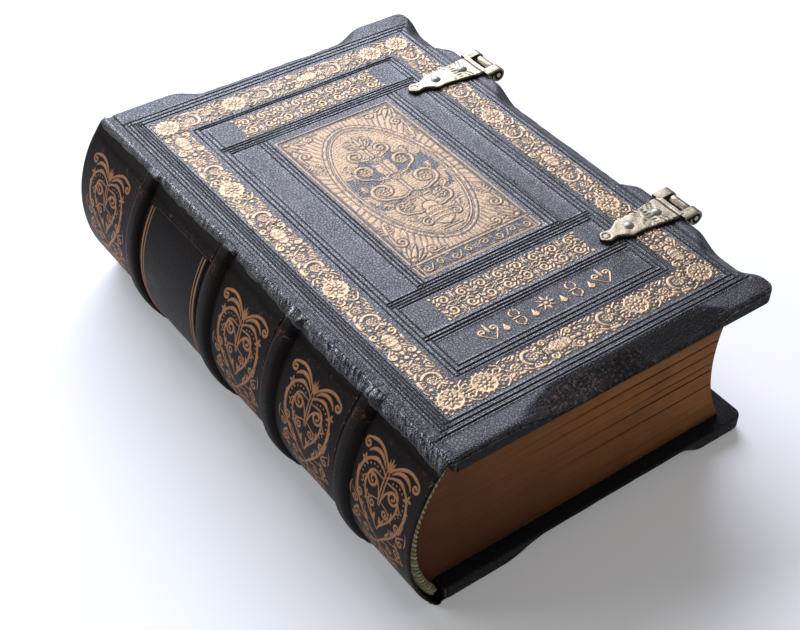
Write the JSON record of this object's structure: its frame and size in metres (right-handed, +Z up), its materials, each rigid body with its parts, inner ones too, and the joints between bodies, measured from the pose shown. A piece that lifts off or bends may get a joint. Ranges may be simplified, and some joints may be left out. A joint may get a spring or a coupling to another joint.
{
  "type": "antique leather book",
  "caption": "Thick leather-bound book with wooden boards, raised bands on a rounded spine, gilt tooling and hinged metal clasps at the fore-edge.",
  "frame": {"origin": "middle of the book's outline, on the surface that its back cover lies on", "axes": "+X from the spine to the fore-edge, +Y from the tail to the head of the book, +Z up through the covers"},
  "size_m": [0.1716, 0.225, 0.075],
  "materials": {
    "cover_leather": "worn, slightly glossy, fine grain",
    "spine_leather": "smooth, handled, slightly glossy",
    "label_leather": "smooth dark label leather",
    "pages": "browned page edges",
    "end_paper": "aged laid paper",
    "cord": "twisted hemp",
    "endband": "twisted silk and linen cord",
    "cover_gold": "worn gold leaf",
    "spine_gold": "rubbed gold leaf",
    "wood": "old oak board",
    "old_brass": "dull, darkened in the hollows",
    "worn_steel": "rubbed bright"
  },
  "bodies": {
    "back_cover": {"back_board": "wood", "back_cover_leather": "cover_leather", "back_pastedown": "end_paper", "catch_plate_head": "old_brass", "catch_plate_tail": "old_brass", "catch_nails": "worn_steel"},
    "book_block": {"text_block": "pages", "spine_lining": "end_paper", "sewing_cord_1": "cord", "sewing_cord_2": "cord", "sewing_cord_3": "cord", "sewing_cord_4": "cord", "head_endband": "endband", "tail_endband": "endband", "spine_leather": "spine_leather", "spine_label": "label_leather", "spine_gilding": "spine_gold"},
    "front_cover": {"front_board": "wood", "front_cover_leather": "cover_leather", "front_pastedown": "end_paper", "gilt_border": "cover_gold", "gilt_panel": "cover_gold", "gilt_strip_head": "cover_gold", "gilt_strip_tail": "cover_gold", "gilt_ornament_row": "cover_gold", "clasp_plate_head": "old_brass", "clasp_plate_tail": "old_brass", "clasp_pin_head": "worn_steel", "clasp_pin_tail": "worn_steel", "clasp_rivets": "worn_steel"},
    "head_clasp": {"clasp_arm_head": "old_brass"},
    "tail_clasp": {"clasp_arm_tail": "old_brass"}
  },
  "joints": [
    {"name": "back_cover_hinge", "type": "hinge", "parent": "back_cover", "child": "book_block", "pos_m": [-0.0671, 0, -0.00025], "axis": [0, 1, 0], "range_deg": [-60, 0]},
    {"name": "front_cover_hinge", "type": "hinge", "parent": "book_block", "child": "front_cover", "pos_m": [-0.0671, 0, 0.07275], "axis": [0, -1, 0], "range_deg": [0, 180]},
    {"name": "head_clasp_hinge", "type": "hinge", "parent": "front_cover", "child": "head_clasp", "pos_m": [0.0827, 0.0585, 0.0712], "axis": [0, -1, 0], "range_deg": [-1.2, 180]},
    {"name": "tail_clasp_hinge", "type": "hinge", "parent": "front_cover", "child": "tail_clasp", "pos_m": [0.0827, -0.0585, 0.0712], "axis": [0, -1, 0], "range_deg": [-1.2, 180]}
  ]
}
